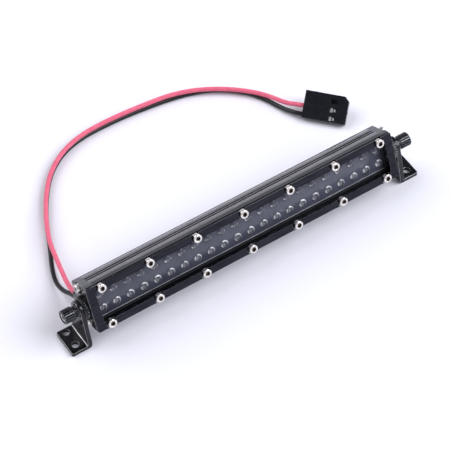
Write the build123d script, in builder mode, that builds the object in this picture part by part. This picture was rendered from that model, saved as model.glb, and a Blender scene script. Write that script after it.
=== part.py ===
"""Miniature LED light bar for a scale truck, on two tilting foot brackets.

A finned aluminium housing holds a board of LED chips behind a lens sheet. A screwed
bezel clamps the lens, and two end caps close the housing. Each cap carries a threaded
insert for a knurled thumb screw, which clamps an L bracket and lets the lamp tilt. Two
wires leave a rubber grommet in the left cap and end in a three-way plug.

X runs along the bar, the lens faces -Y and leans back, +Z is up, and the feet stand on
Z = 0. All sizes are in millimetres. Lamp pieces use two more directions, both measured
from the tilt axis: "forward", out of the lens, and "up the face".
"""
import os
from math import asin, cos, degrees, pi, radians, sin, tan

from build123d import *

os.makedirs("parts", exist_ok=True)

# Stance
TILT = 23.7  # the lens leans back from upright by this angle, degrees
PIVOT_Y = 0.1
PIVOT_Z = 11.6

# Lamp ends, measured from the middle
HOUSING_HALF = 47.4
CAP_THICKNESS = 2.5
LAMP_HALF = HOUSING_HALF + CAP_THICKNESS

# Housing section, as forward positions and heights up the face
FACE_HALF = 7.2  # half the lamp's height
BODY_FRONT = 3.4  # front edge of the thin lip round the bezel
SHOULDER = 1.9  # the flat top ends here and the slope begins
BODY_BACK = -5.5
SLOPE = 0.177  # fall of the sloping top per unit of depth
LIP_THICKNESS = 0.45
LAND = 2.1  # the bezel and gasket seat
LENS_SEAT = 0.2
LENS_POCKET_HALF = 5.5
CAVITY_FLOOR = -1.6
CAVITY_HALF = 3.9
REAR_RADIUS = 0.6
TOP_GROOVE_PLACES = (-0.66, -1.92)
TOP_GROOVE_WIDTH = 0.45
TOP_GROOVE_DEPTH = 0.5
EDGE_GROOVE_PLACE = -4.7
EDGE_GROOVE_SIZE = 0.3
REAR_GROOVES = 5
REAR_GROOVE_PITCH = 1.9
REAR_GROOVE_WIDTH = 0.8
REAR_GROOVE_DEPTH = 1.5

# Bezel
BEZEL_FACE = 4.15
BEZEL_RIM = 0.35
BEZEL_CHAMFER = 0.12
OPENING_HALF_LENGTH = 47.5
OPENING_HALF_HEIGHT = 4.83
OPENING_RADIUS = 0.5
STEP_GAP = 0.05  # between the bezel's step and the lip round it
CORNER_RADIUS = 0.5

# Bezel screws
SCREWS_PER_ROW = 7
SCREW_PITCH = 15.2
SCREW_ROW = 5.8
SPOT_FACE = 3.75
SPOT_RADIUS = 1.65
BOSS_RADIUS = 0.95
SCREW_TIP = -0.05
TAPPED_END = -0.2

# Cap screws
CAP_SCREW_FORWARD = -1.3
CAP_SCREW_HEIGHT = 5.35
CAP_SPOT_RADIUS = 1.9
CAP_SPOT_DEPTH = 0.5
CAP_SCREW_LENGTH = 6.0
CAP_HOLE_DEPTH = 5.2
CAP_CHAMFER = 0.25
LENS_RECESS = 0.7

# One size of socket cap screw, M1.4
HEAD_RADIUS = 1.3
HEAD_HEIGHT = 1.4
HEAD_CHAMFER = 0.12
SOCKET_FLATS = 1.3
SOCKET_DEPTH = 0.8
SHANK_RADIUS = 0.7
THREAD_GAP = 0.01
CLEARANCE_RADIUS = 0.75

# Lens and gasket
LENS_HALF_LENGTH = 48.0
LENS_HALF_HEIGHT = 5.4
LENS_THICKNESS = 1.0
NOTCH_RADIUS = 1.05
DOME_RADIUS = 1.45
DOME_HEIGHT = 0.6  # from its base plane, which lies a little inside the sheet
DOME_BASE_DEPTH = 0.1
GASKET_OPENING_HALF_LENGTH = 47.25
GASKET_OPENING_HALF_HEIGHT = 4.55

# Electronics
LEDS_PER_ROW = 22
LED_PITCH = 4.35
LED_ROW = 2.17
LED_SIZE = (1.9, 1.4, 0.6)
BOARD_HALF_LENGTH = 46.9
BOARD_HALF_HEIGHT = 3.8
BOARD_FRONT = -0.5
BOARD_THICKNESS = 0.8
PAD_INSET = 0.3
RESISTORS = 11
RESISTOR_SIZE = (1.6, 0.8, 0.45)

# Tilt joint, outwards from the cap
INSERT_RADIUS = 1.8
INSERT_LENGTH = 1.7
INSERT_BOSS_RADIUS = 2.1
INSERT_GAP = 0.01
PIVOT_SHANK_RADIUS = 1.0
RUNNING_GAP = 0.05
SPACER_RADIUS = 3.3
SPACER_THICKNESS = 1.6
SPACER_SERRATIONS = 24
LEG_THICKNESS = 1.3
WASHER_RADIUS = 2.1
WASHER_THICKNESS = 0.3
SHOULDER_RADIUS = 1.68
SHOULDER_LENGTH = 0.9
KNOB_RADIUS = 2.03
KNOB_LENGTH = 3.2
KNURL_TEETH = 18
KNURL_GROOVE_RADIUS = 0.2
PIVOT_HEAD_RADIUS = 1.4
PIVOT_HEAD_RECESS = 1.2
PIVOT_HEAD_HEIGHT = 1.0
STUD_TIP = 48.3

SPACER_FACE = LAMP_HALF + SPACER_THICKNESS
LEG_FACE = SPACER_FACE + LEG_THICKNESS
WASHER_FACE = LEG_FACE + WASHER_THICKNESS
KNOB_STEP = WASHER_FACE + SHOULDER_LENGTH
KNOB_FACE = KNOB_STEP + KNOB_LENGTH

# Bracket foot
LEG_TOP_RADIUS = 2.74
FOOT_REACH = 57.75
FOOT_FRONT = PIVOT_Y - 5.3
FOOT_BACK = PIVOT_Y + 3.4
FOOT_CORNER_RADIUS = 0.35
BEND_RADIUS = 1.0
BEND_INNER_RADIUS = 0.3
FOOT_HOLE_X = 55.5
FOOT_HOLE_Y = PIVOT_Y - 0.43
FOOT_HOLE_SPACING = 4.9
FOOT_HOLE_RADIUS = 1.05

# Wires, grommet and plug
WIRE_RADIUS = 0.675
ARC_SHARE = 0.45  # part of the shorter run that a corner's arc may take
WIRE_HEIGHTS = (-0.4, -2.0)
GROMMET_X = -48.7
GROMMET_HEIGHT = -1.2
NECK_WIDTH = 1.6
NECK_TALL = 3.4
NECK_CORNER = 0.53
NECK_END = -4.3
FLANGE_WIDTH = 2.3
FLANGE_TALL = 4.1
FLANGE_CORNER = 0.75
FLANGE_BACK = -6.4
BOOT_BACK = -8.2
BOOT_INSET = 0.1
BOOT_TAPER = 4
NECK_GAP = 0.01
WIRE_POCKET = (4.7, 4.4)  # forward and up the face
WIRE_POCKET_CENTRE = (-2.05, -1.7)
WIRE_POCKET_DEPTH = 1.7
TAIL_RADIUS = 0.35
TAIL_BEND = 0.4
TAIL_LEAVES = -3.5
TAIL_ENTERS = -0.9
TAIL_HEIGHTS = (-2.65, -3.45)  # where they meet the board
PLUG_WIDTH = 8.1
PLUG_THICKNESS = 2.6
PLUG_LENGTH = 13.0
PLUG_PITCH = 2.54
PLUG_SLOT_MIDDLE = 3.5  # the slots sit nearer the edge that rests on the table
PLUG_LEAN = 38.0
PLUG_HEADING = -46.74
PLUG_CORNER = (42.33, 30.91, 0.0)
PLUG_TIP_CHAMFER = 1.3
CONTACT_SIZE = 1.44
CHANNEL_SIZE = 1.46
CONTACT_LENGTH = 10.0
PIN_HOLE = 0.7
WINDOW_PLACE = 8.9
WINDOW_SIZE = (1.3, 1.9)

RED_ROUTE = [
    (-48.7, 7.448, 7.938),
    (-48.7, 10.927, 6.411),
    (-47.2, 17.6, 5.0),
    (-45.6, 24.0, 4.0),
    (-44.2, 29.9, 3.5),
    (-41.0, 37.1, 3.3),
    (-36.0, 45.8, 2.06),
    (-30.5, 52.4, 2.06),
    (-23.5, 57.1, 2.06),
    (-16.0, 59.3, 2.06),
    (-8.6, 59.7, 2.06),
    (-1.3, 59.5, 2.06),
    (5.9, 58.9, 2.06),
    (13.3, 58.1, 2.06),
    (20.1, 56.0, 2.06),
    (26.3, 52.7, 2.06),
    (32.0, 48.4, 2.06),
    (37.07, 42.87, 2.2),
    (40.12, 36.12, 2.8),
    (42.043, 34.072, 3.179),
    (43.756, 32.252, 3.179),
]
BLACK_ROUTE = [
    (-48.7, 6.805, 6.473),
    (-48.7, 9.552, 5.267),
    (-49.6, 13.4, 3.0),
    (-49.2, 18.4, 1.2),
    (-47.1, 23.9, 0.68),
    (-44.8, 28.5, 0.68),
    (-42.6, 33.3, 0.68),
    (-40.1, 38.8, 0.68),
    (-35.4, 46.6, 0.68),
    (-29.8, 53.2, 0.68),
    (-22.8, 57.6, 0.68),
    (-15.4, 59.3, 0.68),
    (-8.3, 59.5, 0.68),
    (-1.0, 59.3, 0.68),
    (6.1, 58.6, 0.68),
    (13.3, 57.7, 0.68),
    (20.2, 56.1, 0.68),
    (26.8, 53.5, 0.68),
    (32.5, 49.2, 0.68),
    (36.59, 43.18, 0.68),
    (39.06, 36.32, 0.9),
    (40.585, 32.7, 1.615),
    (42.298, 30.88, 1.615),
]

PIVOT = Vector(0, PIVOT_Y, PIVOT_Z)
FORWARD = Vector(0, -cos(radians(TILT)), sin(radians(TILT)))
UP_FACE = Vector(0, sin(radians(TILT)), cos(radians(TILT)))
FORWARD_AXIS = Axis(PIVOT, FORWARD)


def face_plane(forward):
    """Plane parallel to the lens: its x is +X and its y is up the face."""
    return Plane(origin=PIVOT + FORWARD * forward, x_dir=(1, 0, 0), z_dir=FORWARD)


def side_plane(x):
    """Plane across the bar, facing left: its x is forward and its y is up the face."""
    return Plane(origin=PIVOT + Vector(x, 0, 0), x_dir=FORWARD, z_dir=(-1, 0, 0))


def top_surface(forward):
    """Height of the sloping top at a forward position."""
    return FACE_HALF - SLOPE * (SHOULDER - forward)


def lamp_point(x, forward, height):
    """Point in space from a lamp position."""
    return PIVOT + Vector(x, 0, 0) + FORWARD * forward + UP_FACE * height


def screw_places():
    """Centres of the two rows of bezel screws on a face plane."""
    return GridLocations(SCREW_PITCH, 2 * SCREW_ROW, SCREWS_PER_ROW, 2)


def cap_screw_places():
    """Centres of the two screws of an end cap on a side plane."""
    return Locations((CAP_SCREW_FORWARD, CAP_SCREW_HEIGHT), (CAP_SCREW_FORWARD, -CAP_SCREW_HEIGHT))


def led_places():
    """Centres of the LED chips on a face plane."""
    return GridLocations(LED_PITCH, 2 * LED_ROW, LEDS_PER_ROW, 2)


def body_outline():
    """Corners of the outer section of the housing and caps, on a side plane."""
    rear = top_surface(BODY_BACK)
    return [
        (BODY_FRONT, -FACE_HALF),
        (BODY_FRONT, FACE_HALF),
        (SHOULDER, FACE_HALF),
        (BODY_BACK, rear),
        (BODY_BACK, -rear),
        (SHOULDER, -FACE_HALF),
    ]


def label_and_export(builder, name):
    """Name a finished piece and write its STEP file."""
    builder.part.label = name
    export_step(builder.part, f"parts/{name}.step")


def socket_screws(plane, places, length):
    """Socket cap screws at places on a plane, which their heads stand on."""
    with BuildPart() as screws:
        with BuildSketch(plane):
            with Locations(*places):
                Circle(HEAD_RADIUS)
        extrude(amount=HEAD_HEIGHT)
        along = Axis(plane.origin, plane.z_dir)
        chamfer(screws.edges().group_by(along)[-1], HEAD_CHAMFER)
        with BuildSketch(plane.offset(HEAD_HEIGHT)):
            with Locations(*places):
                RegularPolygon(SOCKET_FLATS / 2, 6, major_radius=False)
        extrude(amount=-SOCKET_DEPTH, mode=Mode.SUBTRACT)
        with BuildSketch(plane):
            with Locations(*places):
                Circle(SHANK_RADIUS)
        extrude(amount=-length)
    return screws


def corner_radii(route):
    """The largest tangent arc that fits each corner of a route."""
    radii = []
    for before, corner, after in zip(route, route[1:], route[2:]):
        arriving = Vector(*corner) - Vector(*before)
        leaving = Vector(*after) - Vector(*corner)
        half_turn = radians(arriving.get_angle(leaving)) / 2
        radii.append(ARC_SHARE * min(arriving.length, leaving.length) / tan(half_turn))
    return radii


def wire(route, name):
    """Round tube along straight runs joined by tangent arcs."""
    radii = corner_radii(route)
    with BuildPart() as tube:
        with BuildLine() as path:
            FilletPolyline(*route, radius=radii)
        start = Vector(*route[0])
        with BuildSketch(Plane(origin=start, z_dir=Vector(*route[1]) - start)):
            Circle(WIRE_RADIUS)
        sweep(path=path.wire())
    length = path.wire().length
    expected = pi * WIRE_RADIUS**2 * length
    print(name, "length", round(length, 1), "radii", [round(radius, 1) for radius in radii])
    print(name, "volume", round(tube.part.volume, 2), "section by length", round(expected, 2))
    label_and_export(tube, name)


def export_mirrored(builder, name):
    """Write the right-hand copy of a left-hand piece."""
    with BuildPart() as copy:
        add(builder.part.mirror(Plane.YZ))
    label_and_export(copy, name)


# Housing: one extrusion with a lens pocket, a cavity and cooling grooves
with BuildPart() as housing_extrusion:
    with BuildSketch(side_plane(0)) as section:
        with BuildLine():
            Polyline(*body_outline(), close=True)
        make_face()
        fillet(section.vertices().sort_by_distance((BODY_BACK, 0))[:2], REAR_RADIUS)
    extrude(amount=HOUSING_HALF, both=True)
    with BuildSketch(side_plane(0)):
        with Locations((LAND + BODY_FRONT, 0)):
            Rectangle(2 * BODY_FRONT, 2 * (FACE_HALF - LIP_THICKNESS))
        with Locations(((LENS_SEAT + LAND) / 2, 0)):
            Rectangle(LAND - LENS_SEAT, 2 * LENS_POCKET_HALF)
        with Locations(((CAVITY_FLOOR + LENS_SEAT) / 2, 0)):
            Rectangle(LENS_SEAT - CAVITY_FLOOR, 2 * CAVITY_HALF)
        for side in (1, -1):
            for place in TOP_GROOVE_PLACES:
                with Locations((place, side * top_surface(place))):
                    Rectangle(TOP_GROOVE_WIDTH, 2 * TOP_GROOVE_DEPTH)
            with Locations((EDGE_GROOVE_PLACE, side * top_surface(EDGE_GROOVE_PLACE))):
                Rectangle(EDGE_GROOVE_SIZE, 2 * EDGE_GROOVE_SIZE)
        with Locations((BODY_BACK, 0)):
            with GridLocations(1, REAR_GROOVE_PITCH, 1, REAR_GROOVES):
                Rectangle(2 * REAR_GROOVE_DEPTH, REAR_GROOVE_WIDTH)
    extrude(amount=HOUSING_HALF, both=True, mode=Mode.SUBTRACT)
    with BuildSketch(face_plane(LENS_SEAT)):
        with screw_places():
            Circle(BOSS_RADIUS)
    extrude(amount=LAND - LENS_SEAT)
    with BuildSketch(face_plane(LAND)):
        with screw_places():
            Circle(SHANK_RADIUS + THREAD_GAP)
    extrude(amount=TAPPED_END - LAND, mode=Mode.SUBTRACT)
    for end in (-1, 1):
        with BuildSketch(side_plane(end * HOUSING_HALF)):
            with cap_screw_places():
                Circle(SHANK_RADIUS + THREAD_GAP)
        extrude(amount=end * CAP_HOLE_DEPTH, mode=Mode.SUBTRACT)
label_and_export(housing_extrusion, "housing_extrusion")

# Bezel: a thin rim over the lamp's outline, and a step that fills the space inside it
with BuildPart() as front_bezel:
    with BuildSketch(face_plane(BEZEL_FACE)):
        RectangleRounded(2 * LAMP_HALF, 2 * FACE_HALF, CORNER_RADIUS)
    extrude(amount=-BEZEL_RIM)
    chamfer(front_bezel.edges().group_by(FORWARD_AXIS)[-1], BEZEL_CHAMFER)
    step_inset = LIP_THICKNESS + STEP_GAP
    with BuildSketch(face_plane(LAND)):
        Rectangle(2 * (LAMP_HALF - step_inset), 2 * (FACE_HALF - step_inset))
    extrude(amount=BEZEL_FACE - BEZEL_RIM - LAND)
    with BuildSketch(face_plane(BEZEL_FACE)):
        RectangleRounded(2 * OPENING_HALF_LENGTH, 2 * OPENING_HALF_HEIGHT, OPENING_RADIUS)
        with screw_places():
            Circle(CLEARANCE_RADIUS)
    extrude(amount=LAND - BEZEL_FACE, mode=Mode.SUBTRACT)
    with BuildSketch(face_plane(BEZEL_FACE)):
        with screw_places():
            Circle(SPOT_RADIUS)
    extrude(amount=SPOT_FACE - BEZEL_FACE, mode=Mode.SUBTRACT)
label_and_export(front_bezel, "front_bezel")

for row, height in (("top", SCREW_ROW), ("bottom", -SCREW_ROW)):
    row_start = -SCREW_PITCH * (SCREWS_PER_ROW - 1) / 2
    places = [(row_start + SCREW_PITCH * place, height) for place in range(SCREWS_PER_ROW)]
    bezel_screws = socket_screws(face_plane(SPOT_FACE), places, SPOT_FACE - SCREW_TIP)
    label_and_export(bezel_screws, f"bezel_screws_{row}")

# Lens: a sheet with a shallow dome over each LED, notched round the screw bosses
with BuildPart() as lens:
    with BuildSketch(face_plane(LENS_SEAT)):
        Rectangle(2 * LENS_HALF_LENGTH, 2 * LENS_HALF_HEIGHT)
        with screw_places():
            Circle(NOTCH_RADIUS, mode=Mode.SUBTRACT)
    extrude(amount=LENS_THICKNESS)
    with Locations(face_plane(LENS_SEAT + LENS_THICKNESS + DOME_HEIGHT - DOME_BASE_DEPTH - DOME_RADIUS)):
        with led_places():
            base_latitude = degrees(asin((DOME_RADIUS - DOME_HEIGHT) / DOME_RADIUS))
            Sphere(DOME_RADIUS, arc_size1=base_latitude, arc_size2=90, align=None)
label_and_export(lens, "lens")

with BuildPart() as lens_gasket:
    with BuildSketch(face_plane(LENS_SEAT + LENS_THICKNESS)):
        Rectangle(2 * LENS_HALF_LENGTH, 2 * LENS_HALF_HEIGHT)
        Rectangle(
            2 * GASKET_OPENING_HALF_LENGTH,
            2 * GASKET_OPENING_HALF_HEIGHT,
            mode=Mode.SUBTRACT,
        )
        with screw_places():
            Circle(NOTCH_RADIUS, mode=Mode.SUBTRACT)
    extrude(amount=LAND - LENS_SEAT - LENS_THICKNESS)
label_and_export(lens_gasket, "lens_gasket")

# Electronics
with BuildPart() as circuit_board:
    with BuildSketch(face_plane(BOARD_FRONT)):
        Rectangle(2 * BOARD_HALF_LENGTH, 2 * BOARD_HALF_HEIGHT)
    extrude(amount=-BOARD_THICKNESS)
label_and_export(circuit_board, "circuit_board")

with BuildPart() as led_chips:
    with BuildSketch(face_plane(BOARD_FRONT)):
        with led_places():
            Rectangle(LED_SIZE[0], LED_SIZE[1])
    extrude(amount=LED_SIZE[2])
label_and_export(led_chips, "led_chips")

with BuildPart() as resistors:
    with BuildSketch(face_plane(BOARD_FRONT)):
        with GridLocations(2 * LED_PITCH, 1, RESISTORS, 1):
            Rectangle(RESISTOR_SIZE[0], RESISTOR_SIZE[1])
    extrude(amount=RESISTOR_SIZE[2])
label_and_export(resistors, "resistors")

with BuildPart() as thermal_pad:
    with BuildSketch(face_plane(CAVITY_FLOOR)):
        Rectangle(2 * (BOARD_HALF_LENGTH - PAD_INSET), 2 * (BOARD_HALF_HEIGHT - PAD_INSET))
    extrude(amount=BOARD_FRONT - BOARD_THICKNESS - CAVITY_FLOOR)
label_and_export(thermal_pad, "thermal_pad")


def end_cap():
    """Left end cap, without its wire exit."""
    with BuildPart() as cap:
        with BuildSketch(side_plane(-HOUSING_HALF)) as section:
            with BuildLine():
                Polyline(*body_outline(), close=True)
            make_face()
            fillet(section.vertices().sort_by_distance((BODY_BACK, 0))[:2], REAR_RADIUS)
        extrude(amount=CAP_THICKNESS)
        chamfer(cap.edges().group_by(Axis.X)[0], CAP_CHAMFER)
        with BuildSketch(side_plane(-HOUSING_HALF)):
            with Locations((LAND + BODY_FRONT, 0)):
                Rectangle(2 * BODY_FRONT, 2 * (FACE_HALF - LIP_THICKNESS))
        extrude(amount=CAP_THICKNESS - LIP_THICKNESS, mode=Mode.SUBTRACT)
        with BuildSketch(side_plane(-HOUSING_HALF)):
            with Locations(((LENS_SEAT + LAND) / 2, 0)):
                Rectangle(LAND - LENS_SEAT, 2 * LENS_POCKET_HALF)
        extrude(amount=LENS_RECESS, mode=Mode.SUBTRACT)
        with BuildSketch(side_plane(-HOUSING_HALF)):
            Circle(INSERT_RADIUS + INSERT_GAP)
            with cap_screw_places():
                Circle(CLEARANCE_RADIUS)
        extrude(amount=CAP_THICKNESS, mode=Mode.SUBTRACT)
        with BuildSketch(side_plane(-LAMP_HALF)):
            with cap_screw_places():
                Circle(CAP_SPOT_RADIUS)
        extrude(amount=-CAP_SPOT_DEPTH, mode=Mode.SUBTRACT)
    return cap


plain_cap = end_cap()
export_mirrored(plain_cap, "right_end_cap")

# The left cap also has a pocket and a slot for the wires
with BuildPart() as left_end_cap:
    add(plain_cap.part)
    with BuildSketch(side_plane(-HOUSING_HALF)):
        with Locations(WIRE_POCKET_CENTRE):
            Rectangle(*WIRE_POCKET)
        Circle(INSERT_BOSS_RADIUS, mode=Mode.SUBTRACT)
    extrude(amount=WIRE_POCKET_DEPTH, mode=Mode.SUBTRACT)
    with BuildSketch(face_plane(BODY_BACK)):
        with Locations((GROMMET_X, GROMMET_HEIGHT)):
            RectangleRounded(NECK_WIDTH, NECK_TALL, NECK_CORNER)
    extrude(amount=NECK_END - BODY_BACK, mode=Mode.SUBTRACT)
label_and_export(left_end_cap, "left_end_cap")

cap_screw_spots = [(CAP_SCREW_FORWARD, CAP_SCREW_HEIGHT), (CAP_SCREW_FORWARD, -CAP_SCREW_HEIGHT)]
cap_screws = socket_screws(side_plane(CAP_SPOT_DEPTH - LAMP_HALF), cap_screw_spots, CAP_SCREW_LENGTH)
label_and_export(cap_screws, "left_cap_screws")
export_mirrored(cap_screws, "right_cap_screws")

# Tilt joint
with BuildPart() as pivot_insert:
    with BuildSketch(side_plane(-LAMP_HALF)):
        Circle(INSERT_RADIUS)
        Circle(PIVOT_SHANK_RADIUS + RUNNING_GAP, mode=Mode.SUBTRACT)
    extrude(amount=-INSERT_LENGTH)
label_and_export(pivot_insert, "left_pivot_insert")
export_mirrored(pivot_insert, "right_pivot_insert")

with BuildPart() as spacer_ring:
    with BuildSketch(side_plane(-LAMP_HALF)):
        Circle(SPACER_RADIUS)
        with PolarLocations(SPACER_RADIUS, SPACER_SERRATIONS):
            Circle(KNURL_GROOVE_RADIUS, mode=Mode.SUBTRACT)
        Circle(PIVOT_SHANK_RADIUS + RUNNING_GAP, mode=Mode.SUBTRACT)
    extrude(amount=SPACER_THICKNESS)
label_and_export(spacer_ring, "left_spacer_ring")
export_mirrored(spacer_ring, "right_spacer_ring")

# Bracket: a leg that narrows to a round top, bent into a two-hole foot
foot_middle = (FOOT_FRONT + FOOT_BACK) / 2
foot_depth = FOOT_BACK - FOOT_FRONT
with BuildPart() as bracket:
    with BuildSketch(Plane.YZ.offset(-LEG_FACE)):
        with Locations((PIVOT_Y, PIVOT_Z)):
            Circle(LEG_TOP_RADIUS)
        with Locations((foot_middle, LEG_THICKNESS)):
            Rectangle(foot_depth, 2 * LEG_THICKNESS)
        make_hull()
    extrude(amount=LEG_THICKNESS)
    with BuildSketch(Plane.XY) as foot:
        with Locations((-(FOOT_REACH + SPACER_FACE) / 2, foot_middle)):
            Rectangle(FOOT_REACH - SPACER_FACE, foot_depth)
        fillet(foot.vertices().group_by(Axis.X)[0], FOOT_CORNER_RADIUS)
    extrude(amount=LEG_THICKNESS)
    long_edges = bracket.edges().filter_by(Axis.Y)
    fillet(long_edges.sort_by_distance((-LEG_FACE, PIVOT_Y, LEG_THICKNESS))[0], BEND_INNER_RADIUS)
    long_edges = bracket.edges().filter_by(Axis.Y)
    fillet(long_edges.sort_by_distance((-SPACER_FACE, PIVOT_Y, 0))[0], BEND_RADIUS)
    with BuildSketch(Plane.XY):
        with Locations((-FOOT_HOLE_X, FOOT_HOLE_Y)):
            with GridLocations(1, FOOT_HOLE_SPACING, 1, 2):
                Circle(FOOT_HOLE_RADIUS)
    extrude(amount=LEG_THICKNESS, mode=Mode.SUBTRACT)
    with BuildSketch(side_plane(-SPACER_FACE)):
        Circle(PIVOT_SHANK_RADIUS + RUNNING_GAP)
    extrude(amount=LEG_THICKNESS, mode=Mode.SUBTRACT)
label_and_export(bracket, "left_bracket")
export_mirrored(bracket, "right_bracket")

with BuildPart() as washer:
    with BuildSketch(side_plane(-LEG_FACE)):
        Circle(WASHER_RADIUS)
        Circle(PIVOT_SHANK_RADIUS + RUNNING_GAP, mode=Mode.SUBTRACT)
    extrude(amount=WASHER_THICKNESS)
label_and_export(washer, "left_washer")
export_mirrored(washer, "right_washer")

with BuildPart() as knob:
    with BuildSketch(side_plane(-WASHER_FACE)):
        Circle(SHOULDER_RADIUS)
    extrude(amount=SHOULDER_LENGTH)
    with BuildSketch(side_plane(-KNOB_STEP)):
        Circle(KNOB_RADIUS)
    extrude(amount=KNOB_LENGTH)
    chamfer(knob.edges().group_by(Axis.X)[0], KNURL_GROOVE_RADIUS)
    with BuildSketch(side_plane(-KNOB_STEP)):
        with PolarLocations(KNOB_RADIUS, KNURL_TEETH):
            Circle(KNURL_GROOVE_RADIUS)
    extrude(amount=KNOB_LENGTH, mode=Mode.SUBTRACT)
    with BuildSketch(side_plane(-WASHER_FACE)):
        Circle(PIVOT_SHANK_RADIUS + THREAD_GAP)
    extrude(amount=SHOULDER_LENGTH + KNOB_LENGTH, mode=Mode.SUBTRACT)
    with BuildSketch(side_plane(-KNOB_FACE)):
        Circle(PIVOT_HEAD_RADIUS + THREAD_GAP)
    extrude(amount=-PIVOT_HEAD_RECESS, mode=Mode.SUBTRACT)
label_and_export(knob, "left_knob")
export_mirrored(knob, "right_knob")

head_seat = KNOB_FACE - PIVOT_HEAD_RECESS
with BuildPart() as pivot_screw:
    with BuildSketch(side_plane(-head_seat)):
        Circle(PIVOT_SHANK_RADIUS)
    extrude(amount=STUD_TIP - head_seat)
    with BuildSketch(side_plane(-head_seat)):
        Circle(PIVOT_HEAD_RADIUS)
    extrude(amount=PIVOT_HEAD_HEIGHT)
    chamfer(pivot_screw.edges().group_by(Axis.X)[0], HEAD_CHAMFER)
    with BuildSketch(side_plane(-head_seat - PIVOT_HEAD_HEIGHT)):
        RegularPolygon(SOCKET_FLATS / 2, 6, major_radius=False)
    extrude(amount=-SOCKET_DEPTH, mode=Mode.SUBTRACT)
label_and_export(pivot_screw, "left_pivot_screw")
export_mirrored(pivot_screw, "right_pivot_screw")

# Grommet: a neck in the cap's slot, a flange behind it and a tapered boot
with BuildPart() as wire_grommet:
    with BuildSketch(face_plane(BODY_BACK)):
        with Locations((GROMMET_X, GROMMET_HEIGHT)):
            RectangleRounded(NECK_WIDTH - 2 * NECK_GAP, NECK_TALL - 2 * NECK_GAP, NECK_CORNER)
    extrude(amount=NECK_END - BODY_BACK)
    with BuildSketch(face_plane(BODY_BACK)):
        with Locations((GROMMET_X, GROMMET_HEIGHT)):
            RectangleRounded(FLANGE_WIDTH, FLANGE_TALL, FLANGE_CORNER)
    extrude(amount=FLANGE_BACK - BODY_BACK)
    with BuildSketch(face_plane(FLANGE_BACK)):
        with Locations((GROMMET_X, GROMMET_HEIGHT)):
            RectangleRounded(FLANGE_WIDTH - 2 * BOOT_INSET, FLANGE_TALL - 2 * BOOT_INSET, FLANGE_CORNER)
    extrude(amount=BOOT_BACK - FLANGE_BACK, taper=BOOT_TAPER)
label_and_export(wire_grommet, "wire_grommet")

# Bare tinned ends of the two wires, from the grommet to the board's edge
with BuildPart() as solder_tails:
    for wire_height, board_height in zip(WIRE_HEIGHTS, TAIL_HEIGHTS):
        tail_route = [
            lamp_point(GROMMET_X, NECK_END, wire_height),
            lamp_point(GROMMET_X, TAIL_LEAVES, wire_height),
            lamp_point(GROMMET_X, TAIL_ENTERS, board_height),
            lamp_point(-BOARD_HALF_LENGTH, TAIL_ENTERS, board_height),
        ]
        with BuildLine() as tail_path:
            FilletPolyline(*tail_route, radius=TAIL_BEND)
        with BuildSketch(Plane(origin=tail_route[0], z_dir=FORWARD)):
            Circle(TAIL_RADIUS)
        sweep(path=tail_path.wire())
label_and_export(solder_tails, "solder_tails")

wire(RED_ROUTE, "red_wire")
wire(BLACK_ROUTE, "black_wire")

# Plug: it leans on one long edge; z of its plane runs from the wires to the tip
heading = radians(PLUG_HEADING)
lean = radians(PLUG_LEAN)
plug_width_direction = (-sin(heading) * cos(lean), cos(heading) * cos(lean), sin(lean))
plug_plane = Plane(origin=PLUG_CORNER, x_dir=plug_width_direction, z_dir=(cos(heading), sin(heading), 0))
slot_places = [(PLUG_SLOT_MIDDLE + PLUG_PITCH * slot, PLUG_THICKNESS / 2) for slot in (-1, 0, 1)]
with BuildPart() as plug_housing:
    with BuildSketch(plug_plane):
        Rectangle(PLUG_WIDTH, PLUG_THICKNESS, align=Align.MIN)
    extrude(amount=PLUG_LENGTH)
    tip_face = plug_housing.faces().sort_by(Axis(plug_plane.origin, plug_plane.z_dir))[-1]
    far_edge = tip_face.edges().sort_by(Axis(plug_plane.origin, plug_plane.x_dir))[-1]
    chamfer(far_edge, PLUG_TIP_CHAMFER)
    with BuildSketch(plug_plane):
        with Locations(*slot_places):
            Rectangle(CHANNEL_SIZE, CHANNEL_SIZE)
    extrude(amount=CONTACT_LENGTH, mode=Mode.SUBTRACT)
    with BuildSketch(plug_plane):
        with Locations(*slot_places):
            Rectangle(PIN_HOLE, PIN_HOLE)
    extrude(amount=PLUG_LENGTH, mode=Mode.SUBTRACT)
    window_plane = Plane(
        origin=plug_plane.from_local_coords((0, PLUG_THICKNESS, 0)),
        x_dir=plug_plane.x_dir,
        z_dir=plug_plane.y_dir,
    )
    with BuildSketch(window_plane):
        for place, _ in slot_places:
            with Locations((place, -WINDOW_PLACE)):
                Rectangle(*WINDOW_SIZE)
    extrude(amount=(CONTACT_SIZE - PLUG_THICKNESS) / 2, mode=Mode.SUBTRACT)
label_and_export(plug_housing, "plug_housing")

# One crimped contact for each wire; the far slot stays empty
with BuildPart() as plug_contacts:
    with BuildSketch(plug_plane):
        with Locations(*slot_places[:2]):
            Rectangle(CONTACT_SIZE, CONTACT_SIZE)
    extrude(amount=CONTACT_LENGTH)
    with BuildSketch(plug_plane.offset(CONTACT_LENGTH)):
        with Locations(*slot_places[:2]):
            Rectangle(PIN_HOLE, PIN_HOLE)
    extrude(amount=-CONTACT_LENGTH / 2, mode=Mode.SUBTRACT)
label_and_export(plug_contacts, "plug_contacts")
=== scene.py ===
"""Looks of a miniature LED light bar: a black anodised lamp with a lens sheet and bright
socket screws, on two foot brackets with knurled thumb screws, and a short two-wire lead.

Blender works in metres. Sizes below are in millimetres and pass through MM or lamp().
"""
import math

import bmesh
import bpy
from mathutils import Matrix, Vector


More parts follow.
